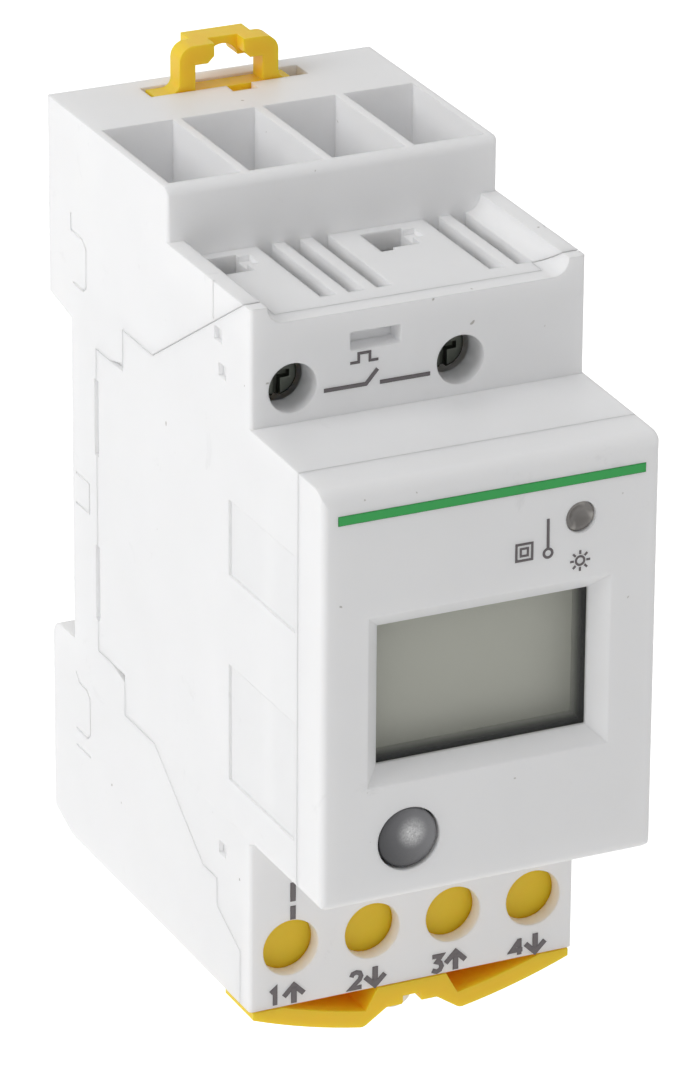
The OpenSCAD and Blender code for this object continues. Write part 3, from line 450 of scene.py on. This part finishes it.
def pane_skin(name):
    """Clear pane: a thin glossy veil over what is behind it, with a roughness that varies."""
    mat, tree, shader = blank(name)
    noise = object_noise(tree, Scale=400.0, Detail=5.0)
    span = add(tree, "ShaderNodeMapRange", To_Min=0.04, To_Max=0.16)
    tree.links.new(noise.outputs[0], span.inputs["Value"])
    tree.links.new(span.outputs["Result"], shader.inputs["Roughness"])
    shader.inputs["Base Color"].default_value = (0.5, 0.52, 0.5, 1.0)
    shader.inputs["Alpha"].default_value = 0.06
    return mat


def well_painted_shade(name, start, end):
    """Painted shading for the well: black at the pane, fading along y from start to end to the glass's
    tone.
    """
    mat, tree, shader = blank(name)
    co = add(tree, "ShaderNodeTexCoord")
    axes = add(tree, "ShaderNodeSeparateXYZ")
    # Painted shading: the fade from black to the glass's tone stands in for light on the walls.
    fade = add(tree, "ShaderNodeMapRange", interpolation_type="SMOOTHSTEP", From_Min=start, From_Max=end)
    mix = blend(tree, (0.004, 0.004, 0.005), (0.36, 0.365, 0.325))
    tree.links.new(co.outputs["Object"], axes.inputs["Vector"])
    tree.links.new(axes.outputs["Y"], fade.inputs["Value"])
    tree.links.new(fade.outputs["Result"], mix.inputs[0])
    tree.links.new(mix.outputs[2], shader.inputs["Base Color"])
    shader.inputs["Roughness"].default_value = 0.6
    return mat


def lens_skin(name):
    """Smoky light guide: dark, with a paler patch where a coarse noise peaks."""
    mat, tree, shader = blank(name)
    noise = object_noise(tree, Scale=420.0, Detail=1.0, Distortion=0.4)
    step = add(tree, "ShaderNodeMapRange", interpolation_type="SMOOTHSTEP", From_Min=0.5, From_Max=0.62)
    mix = blend(tree, (0.2, 0.187, 0.175), (0.42, 0.40, 0.37))
    tree.links.new(noise.outputs[0], step.inputs["Value"])
    tree.links.new(step.outputs["Result"], mix.inputs[0])
    tree.links.new(mix.outputs[2], shader.inputs["Base Color"])
    shader.inputs["Roughness"].default_value = 0.15
    return mat


pane_back = reach("display_window")[1][1]
glass_front = reach("lcd_panel")[0][1]
skins["lcd_glass"] = display_skin("lcd_glass")
skins["window_glass"] = pane_skin("window_glass")
skins["display_well_painted_shade"] = well_painted_shade("display_well_painted_shade", pane_back + 0.05 * MM, glass_front + 0.25 * MM)
skins["lens_plastic"] = lens_skin("lens_plastic")
print("display well", mm(glass_front - pane_back), "mm deep")

# %% [markdown]
# The push button is a grey dome with a satin skin.
# Its lighter patch near the middle is a painted highlight, and its darker lower left is painted shade.
# Lights alone gave a flat grey here, so both are painted into the colour by place on the cap.
# One distance sets the painted shade, the other the painted highlight.

# %% Button


def button_skin(name, painted_light_at, painted_glint_at):
    """Satin cap: painted shade, darker away from the first point, and a speckled painted highlight by the
    second.
    """
    mat, tree, shader = blank(name)
    co = add(tree, "ShaderNodeTexCoord")
    side = add(tree, "ShaderNodeVectorMath", operation="DISTANCE")
    side.inputs[1].default_value = painted_light_at
    # Painted shade: the cap darkens with the distance from the lit point.
    shade = add(
        tree, "ShaderNodeMapRange", interpolation_type="SMOOTHSTEP", From_Min=2.0 * MM, From_Max=7.4 * MM
    )
    body = blend(tree, (0.2, 0.2, 0.21), (0.03, 0.03, 0.034))
    # Painted highlight: a speckled light patch near the glint point.
    far = add(tree, "ShaderNodeVectorMath", operation="DISTANCE")
    far.inputs[1].default_value = painted_glint_at
    fade = add(
        tree, "ShaderNodeMapRange", interpolation_type="SMOOTHSTEP", From_Min=0.2 * MM, From_Max=1.9 * MM,
        To_Min=1.0, To_Max=0.0,
    )
    dots = object_noise(tree, Scale=5200.0, Detail=2.0)
    mask = add(tree, "ShaderNodeMath", operation="MULTIPLY")
    glint_paint = blend(tree, (0.2, 0.2, 0.21), (1.0, 1.0, 1.0))
    bump = add(tree, "ShaderNodeBump", Strength=0.25, Distance=0.1 * MM)
    tree.links.new(co.outputs["Object"], side.inputs[0])
    tree.links.new(side.outputs["Value"], shade.inputs["Value"])
    tree.links.new(shade.outputs["Result"], body.inputs[0])
    tree.links.new(co.outputs["Object"], far.inputs[0])
    tree.links.new(far.outputs["Value"], fade.inputs["Value"])
    tree.links.new(fade.outputs["Result"], mask.inputs[0])
    tree.links.new(dots.outputs[0], mask.inputs[1])
    tree.links.new(mask.outputs[0], glint_paint.inputs[0])
    tree.links.new(body.outputs[2], glint_paint.inputs[6])
    tree.links.new(glint_paint.outputs[2], shader.inputs["Base Color"])
    tree.links.new(dots.outputs[0], bump.inputs["Height"])
    tree.links.new(bump.outputs["Normal"], shader.inputs["Normal"])
    shader.inputs["Roughness"].default_value = 0.3
    return mat


cap_x, _, cap_z = middle("button_cap")
cap_front = reach("button_cap")[0][1]
# The first point is the lit side of the painted shade, the second the place of the painted highlight.
skins["grey_plastic"] = button_skin(
    "grey_plastic",
    (cap_x + 3.2 * MM, cap_front + 0.25 * MM, cap_z + 2.2 * MM),
    (cap_x + 0.3 * MM, cap_front + 0.05 * MM, cap_z + 0.7 * MM),
)
print("button at", mm(cap_x), mm(cap_z), "mm")

# %% [markdown]
# Now every CAD node gets the material of its slot in the record.
# The display's frame is the one exception: it is the well that is seen round the glass, with painted
# shading.

# %% Dress the solids
for name, obj in nodes.items():
    obj.data.materials.clear()
    obj.data.materials.append(skins["display_well_painted_shade" if name == "lcd_frame" else slot_of[name]])
print("dressed", len(nodes), "nodes with", len(bpy.data.materials), "materials")

# %% [markdown]
# The CAD meshes are loose triangles, which spoil smooth shading and can't be bent or bevelled.
# Each visible moulding is therefore copied, and its triangles are merged into whole faces.
# Where a face would end up with a hole in it, or a shape is to bend, planes cut it first.

# %% Merge faces
WELD = 0.002 * MM
SNAP = 0.005 * MM
SHARP = math.radians(25)


def whole_faces(bm, cuts, weld):
    """Merges coplanar triangles into faces without holes. The cutting planes stay as seams.
    A cut is an axis and a level on it in millimetres."""
    bmesh.ops.remove_doubles(bm, verts=bm.verts, dist=weld)
    for axis, level in cuts:
        way = Vector([float(axis == a) for a in "xyz"])
        cut = bmesh.ops.bisect_plane(
            bm, geom=[*bm.verts, *bm.edges, *bm.faces], dist=SNAP, plane_co=way * level * MM, plane_no=way
        )
        for item in cut["geom_cut"]:
            if isinstance(item, bmesh.types.BMEdge):
                item.seam = True
    bmesh.ops.dissolve_limit(
        bm, angle_limit=math.radians(0.8), verts=bm.verts, edges=bm.edges, delimit={"SEAM"}
    )


print("points closer than", mm(WELD), "mm are welded")

# %% [markdown]
# The button, the lens and the screws are small turned parts, and light runs along their rims.
# One bevel width would overrun the thin slots in the screws.
# So every sharp edge gets a weight: full where there is room, and less beside a short edge.

# %% Bevel weights


def weigh_edges(bm, width):
    """Bevel weights: 1 on sharp edges, none where two meet at a point, less beside a short edge."""
    weight = bm.edges.layers.float.new("bevel_weight_edge")
    sharp = {e for e in bm.edges if len(e.link_faces) == 2 and e.calc_face_angle(0.0) > SHARP}
    for edge in sharp:
        edge[weight] = 1.0
    for vert in bm.verts:
        rays = [e for e in vert.link_edges if e in sharp]
        ways = [(e.other_vert(vert).co - vert.co).normalized() for e in rays]
        for i, a in enumerate(ways):
            for j in range(i):
                if a.angle(ways[j]) < math.radians(30):
                    rays[i][weight] = rays[j][weight] = 0.0
    for edge in sharp:
        for vert in edge.verts:
            way = (edge.other_vert(vert).co - vert.co).normalized()
            for other in vert.link_edges:
                ray = (other.other_vert(vert).co - vert.co).normalized()
                if other in sharp and abs(ray.dot(way)) < 0.8:
                    edge[weight] = min(edge[weight], 0.4 * other.calc_length() / width)


print("edges sharper than", round(math.degrees(SHARP)), "degrees get a bevel on small parts")

# %% [markdown]
# The nose of the real meter ends in two rounded lower corners, where two mouldings meet.
# Rounding each one by itself would open the seam between them.
# The same bend is applied to both copies instead, so that they stay flush.
# Planes through the corner give the bend points to move.

# %% Round the nose
CORNER = 1.0 * MM
NOSE_Y = FRONT_Y - 0.4 * MM
BEND_STEPS = (1.0, 0.6, 0.3)
chin_cuts = [("x", side * (mm(HALF) - step)) for side in (-1, 1) for step in BEND_STEPS]
chin_cuts += [("z", mm(CHIN) + step) for step in BEND_STEPS] + [("y", mm(NOSE_Y))]


def soft_chin(mesh):
    """Rounds the nose's two lower corners. In the square there, the offsets u and w from its inner corner
    become u * sqrt(1 - w^2 / 2) and w * sqrt(1 - u^2 / 2), which bends the rim into a quarter circle."""
    x, y, z = points(mesh).T
    u = (np.abs(x) - HALF + CORNER) / CORNER
    w = (CHIN + CORNER - z) / CORNER
    near = (u > 0) & (w > 0) & (w < 1.001) & (y < NOSE_Y + 0.01 * MM)
    u, w = np.where(near, u, 0.0), np.where(near, w, 0.0)
    bent_x = np.sign(x) * (HALF - CORNER + CORNER * u * np.sqrt(1 - w * w / 2))
    bent_z = CHIN + CORNER - CORNER * w * np.sqrt(1 - u * u / 2)
    bent = np.column_stack([np.where(near, bent_x, x), y, np.where(near, bent_z, z)])
    mesh.vertices.foreach_set("co", bent.ravel())
    print("rounded", int(near.sum()), "corner points")


print("corner radius", mm(CORNER), "mm, cuts", len(chin_cuts))

# %% [markdown]
# The small label pocket in the shoulder is deeper than its wall is thick.
# A mould maker would back it with a raised pad on the inside, and so does this step.
# Planes cut the pad's foot into the inner face, and then floor and pad each move back.

# %% Sink the label pocket
POCKET_X, POCKET_Z = -4.7 * MM, 29.45 * MM
POCKET_WIDE, POCKET_TALL = 2.7 * MM, 0.95 * MM
PAD = 0.4 * MM
POCKET_FLOOR_Y = FRONT_Y + 1.0 * MM
WALL_INSIDE_Y = FRONT_Y + 1.5 * MM
FLOOR_SINK, PAD_SINK = 1.3 * MM, 1.7 * MM
pocket_cuts = [("x", mm(POCKET_X + side * (POCKET_WIDE + k * PAD))) for side in (-1, 1) for k in (1, 2)]
pocket_cuts += [("z", mm(POCKET_Z - POCKET_TALL - k * PAD)) for k in (1, 2)]


def deep_pocket(mesh):
    """Sinks the label pocket: its floor and the wall behind it each move back by a fixed depth."""
    x, y, z = points(mesh).T
    room = 1.25 * PAD
    inside = (np.abs(x - POCKET_X) < POCKET_WIDE + room) & (np.abs(z - POCKET_Z) < POCKET_TALL + room)
    sunk = inside & (np.abs(y - POCKET_FLOOR_Y) < 0.02 * MM)
    backed = inside & (np.abs(y - WALL_INSIDE_Y) < 0.02 * MM)
    y = y + sunk * FLOOR_SINK + backed * PAD_SINK
    mesh.vertices.foreach_set("co", np.column_stack([x, y, z]).ravel())
    print("sunk", int(sunk.sum()), "pocket points and", int(backed.sum()), "behind them")


print("pocket cuts", len(pocket_cuts))

# %% [markdown]
# With these tools each copy is made, shaped and set in the place of its CAD node.
# Large mouldings keep their sharp mesh, and the grain group rounds their edges in the shading.
# Small turned parts get a true bevel, because their rims are seen close and against the dark.
# The nose's front has a step of a few hundredths in its top, which a wider weld closes.

# %% Eased mouldings
STEP_WELD = 0.06 * MM


def eased(node, width=0.0, cuts=(), weld=WELD, shapes=()):
    """A merged copy of a CAD node, bevelled where a width is given, standing for the node."""
    mesh = nodes[node].data.copy()
    mesh.name = node + "_eased"
    bm = bmesh.new()
    bm.from_mesh(mesh)
    whole_faces(bm, cuts, weld)
    for shape in shapes:
        bm.to_mesh(mesh)
        shape(mesh)
        bm.clear()
        bm.from_mesh(mesh)
        bmesh.ops.dissolve_degenerate(bm, edges=bm.edges, dist=WELD)
    if width:
        weigh_edges(bm, width)
    for edge in bm.edges:
        edge.smooth = bool(width) or edge.calc_face_angle(0.0) < SHARP
    for face in bm.faces:
        face.smooth = True
    bm.to_mesh(mesh)
    bm.free()
    obj = bpy.data.objects.new(node + "_eased", mesh)
    bpy.context.scene.collection.objects.link(obj)
    if width:
        mod = obj.modifiers.new("ease", "BEVEL")
        mod.limit_method = "WEIGHT"
        mod.width = width
        mod.segments = 3
        mod.use_clamp_overlap = False
    flat = obj.modifiers.new("flat", "WEIGHTED_NORMAL")
    flat.keep_sharp = not width
    flat.weight = 80
    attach(obj, body_of[node])
    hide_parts(node)
    return obj


pieces = [
    eased("rear_base"),
    eased("front_case", cuts=chin_cuts + pocket_cuts, shapes=(soft_chin, deep_pocket)),
    eased("nose_fascia", cuts=chin_cuts, weld=STEP_WELD, shapes=(soft_chin,)),
    eased("rail_clip"),
    eased("screw_shutter"),
    eased("button_cap", 0.15 * MM, cuts=[("x", mm(cap_x))]),
    eased("led_lens", 0.06 * MM, cuts=[("x", mm(middle("led_lens")[0]))]),
]
pieces += [eased(f"pulse_screw_{i}", 0.08 * MM) for i in (1, 2)]
pieces += [eased(f"power_screw_{i}", 0.1 * MM) for i in (1, 2, 3, 4)]
print("eased", len(pieces))

# %% [markdown]
# The marks on the front are pad printed: thin ink that stands a hair proud of the plastic.
# A picture would need unwrapped faces and would blur up close. Ribbons of ink stay crisp.
# A ribbon follows a path: each point is moved left and right along the mitred normal.

# %% Ink
INK = 0.03 * MM
SUNK = 0.01 * MM


def ribbon(path, width, closed=False):
    """Corners of a ribbon: path +- half the width along the mitred normal, as left and right rows."""
    p = np.asarray(path, float)
    if closed:
        before, after = p - np.roll(p, 1, 0), np.roll(p, -1, 0) - p
    else:
        step = np.diff(p, axis=0)
        before = np.vstack([step[:1], step])
        after = np.vstack([step, step[-1:]])
    before /= np.linalg.norm(before, axis=1, keepdims=True)
    after /= np.linalg.norm(after, axis=1, keepdims=True)
    along = before + after
    along /= np.linalg.norm(along, axis=1, keepdims=True)
    normal = np.column_stack([-along[:, 1], along[:, 0]])
    length = width / 2 / np.maximum(0.4, (along * before).sum(1))[:, None]
    return p + normal * length, p - normal * length


def marks(name, strokes, face_y, body, material):
    """A printed piece: every stroke is a flat ribbon with a front, a back and side walls.
    Strokes that cross stand proud by slightly different heights, so that no two fronts coincide."""
    verts, faces, base = [], [], 0
    for k, (path, width, closed) in enumerate(strokes):
        proud = INK * (1.0 + 0.12 * (k % 4))
        left, right_row = ribbon(path, width, closed)
        n = len(left)
        flat = np.concatenate([left, right_row]) * MM
        front = np.column_stack([flat[:, 0], np.full(2 * n, face_y - proud), flat[:, 1]])
        rear = np.column_stack([flat[:, 0], np.full(2 * n, face_y + SUNK), flat[:, 1]])
        verts += [front, rear]
        i = np.arange(n if closed else n - 1)
        j = (i + 1) % n
        quads = [
            np.column_stack([i, i + n, j + n, j]),
            np.column_stack([i + 2 * n, j + 2 * n, j + 3 * n, i + 3 * n]),
            np.column_stack([i, j, j + 2 * n, i + 2 * n]),
            np.column_stack([i + n, i + 3 * n, j + 3 * n, j + n]),
        ]
        if not closed:
            e = n - 1
            quads.append(np.array([[0, 2 * n, 3 * n, n], [e, e + n, e + 3 * n, e + 2 * n]]))
        faces.append(np.concatenate(quads) + base)
        base += 4 * n
    mesh = bpy.data.meshes.new(name)
    mesh.from_pydata(np.concatenate(verts).tolist(), [], np.concatenate(faces).tolist())
    mesh.materials.append(material)
    bm = bmesh.new()
    bm.from_mesh(mesh)
    bmesh.ops.recalc_face_normals(bm, faces=bm.faces)
    bm.to_mesh(mesh)
    bm.free()
    obj = bpy.data.objects.new(name, mesh)
    bpy.context.scene.collection.objects.link(obj)
    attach(obj, body)
    return obj


print("ink", mm(INK), "mm thick")

# %% [markdown]
# The shoulder carries a contact symbol and a pulse, and the lower wall numbers and arrows.
# Each is a list of strokes: a path in millimetres of x and z, a width, and whether it closes.
# Numbers and arrows take their places from the power screws, so that they stay below them.

# %% Marks on shoulder and lower wall
NUMERALS = {
    1: [(-0.3, 0.35), (0.02, 0.6), (0.02, -0.6)],
    2: [
        (-0.36, 0.3), (-0.26, 0.52), (0, 0.6), (0.26, 0.52), (0.36, 0.28), (0.26, 0.02), (-0.38, -0.55),
        (0.4, -0.55),
    ],
    3: [
        (-0.34, 0.55), (0.34, 0.55), (0.0, 0.12), (0.26, 0.02), (0.36, -0.25), (0.24, -0.5), (0, -0.6),
        (-0.34, -0.46),
    ],
    4: [(0.2, 0.5), (-0.38, -0.24), (0.44, -0.24)],
}
STEM_OF_4 = [(0.2, -0.6), (0.2, 0.6)]
NUMERAL_SIZE, NUMERAL_STROKE = 1.5, 0.5
NUMERAL_LEFT, NUMERAL_Z = 1.75, -39.8
ARROW_RIGHT, ARROW_HEAD = 0.35, 1.1
UP, DOWN = (-38.85, -40.85), (-40.75, -38.65)
DASH_X = -13.28


def numeral(path, x):
    """A numeral's stroke, scaled and moved to the left of a terminal's centre."""
    return np.asarray(path, float) * NUMERAL_SIZE + (x - NUMERAL_LEFT, NUMERAL_Z), NUMERAL_STROKE, False


def arrow(x, tip, tail):
    """An arrow from tail to tip, as a shaft and a head of two slopes."""
    back_way = math.copysign(1.0, tail - tip)
    wing = tip + ARROW_HEAD * back_way
    shaft = [(x, tail), (x, tip + 0.3 * back_way)]
    head = [(x - ARROW_HEAD, wing), (x, tip), (x + ARROW_HEAD, wing)]
    return [(shaft, 0.62, False), (head, 0.56, False)]


shoulder_marks = [
    ([(-10.2, 24.8), (-5.7, 24.8), (-4.46, 26.2)], 0.42, False),
    ([(-4.2, 24.75), (1.2, 24.75)], 0.42, False),
    ([(-7.4, 27.2), (-6.5, 27.2), (-6.5, 28.1), (-5.3, 28.1), (-5.3, 27.2), (-4.4, 27.2)], 0.28, False),
]
dashes = ((-29.5, -27.4), (-31.5, -30.0))
terminal_marks = [([(DASH_X, low), (DASH_X, high)], 0.6, False) for low, high in dashes]
for i in (1, 2, 3, 4):
    x = mm(middle(f"power_screw_{i}")[0])
    terminal_marks.append(numeral(NUMERALS[i], x))
    terminal_marks += arrow(x + ARROW_RIGHT, *(UP if i % 2 else DOWN))
# x is still that of terminal 4
terminal_marks.append(numeral(STEM_OF_4, x))
printed = [
    marks("shoulder_marks", shoulder_marks, FRONT_Y, "housing", ink),
    marks("terminal_marks", terminal_marks, FRONT_Y, "housing", ink),
]
print("strokes", len(shoulder_marks), "and", len(terminal_marks))

# %% [markdown]
# The fascia has a green stripe along its top, a line with a ring, a double square and a lamp sign.
# Circles could be curve objects. As rings of points they go through the same ribbon as the rest.

# %% Marks on the fascia
LAMP_SIGN = (9.45, 10.0)
SQUARE_SIGN = (3.4, 11.95)


def ring(x, z, r, n=40):
    """Points on a circle: the centre plus r times the cosine and the sine of equal angles."""
    t = np.linspace(0, 2 * np.pi, n, endpoint=False)
    return np.column_stack([x + r * np.cos(t), z + r * np.sin(t)])


def square(x, z, half):
    """Corners of a square: the centre plus or minus half its side."""
    return np.array([(-half, -half), (half, -half), (half, half), (-half, half)]) + (x, z)


fascia_marks = [
    ([(5.92, 15.0), (5.95, 11.9)], 0.3, False),
    (ring(5.96, 11.4, 0.45), 0.26, True),
    (square(*SQUARE_SIGN, 0.85), 0.24, True),
    (square(*SQUARE_SIGN, 0.38), 0.22, True),
    (ring(*LAMP_SIGN, 0.45), 0.22, True),
]
for t in np.radians(np.arange(0, 360, 45)):
    way = np.array([np.cos(t), np.sin(t)])
    fascia_marks.append((np.array([way * 0.68, way * 1.08]) + LAMP_SIGN, 0.22, False))
stripe = [([(-16.4, 18.6), (16.4, 18.6)], 1.0, False)]
printed += [
    marks("fascia_marks", fascia_marks, FASCIA_Y, "housing", ink),
    marks("fascia_stripe", stripe, FASCIA_Y, "housing", ink_green),
]
print("printed", len(printed))

# %% [markdown]
# The last cell marks the end of the script.

# %% Finish
print("finished")
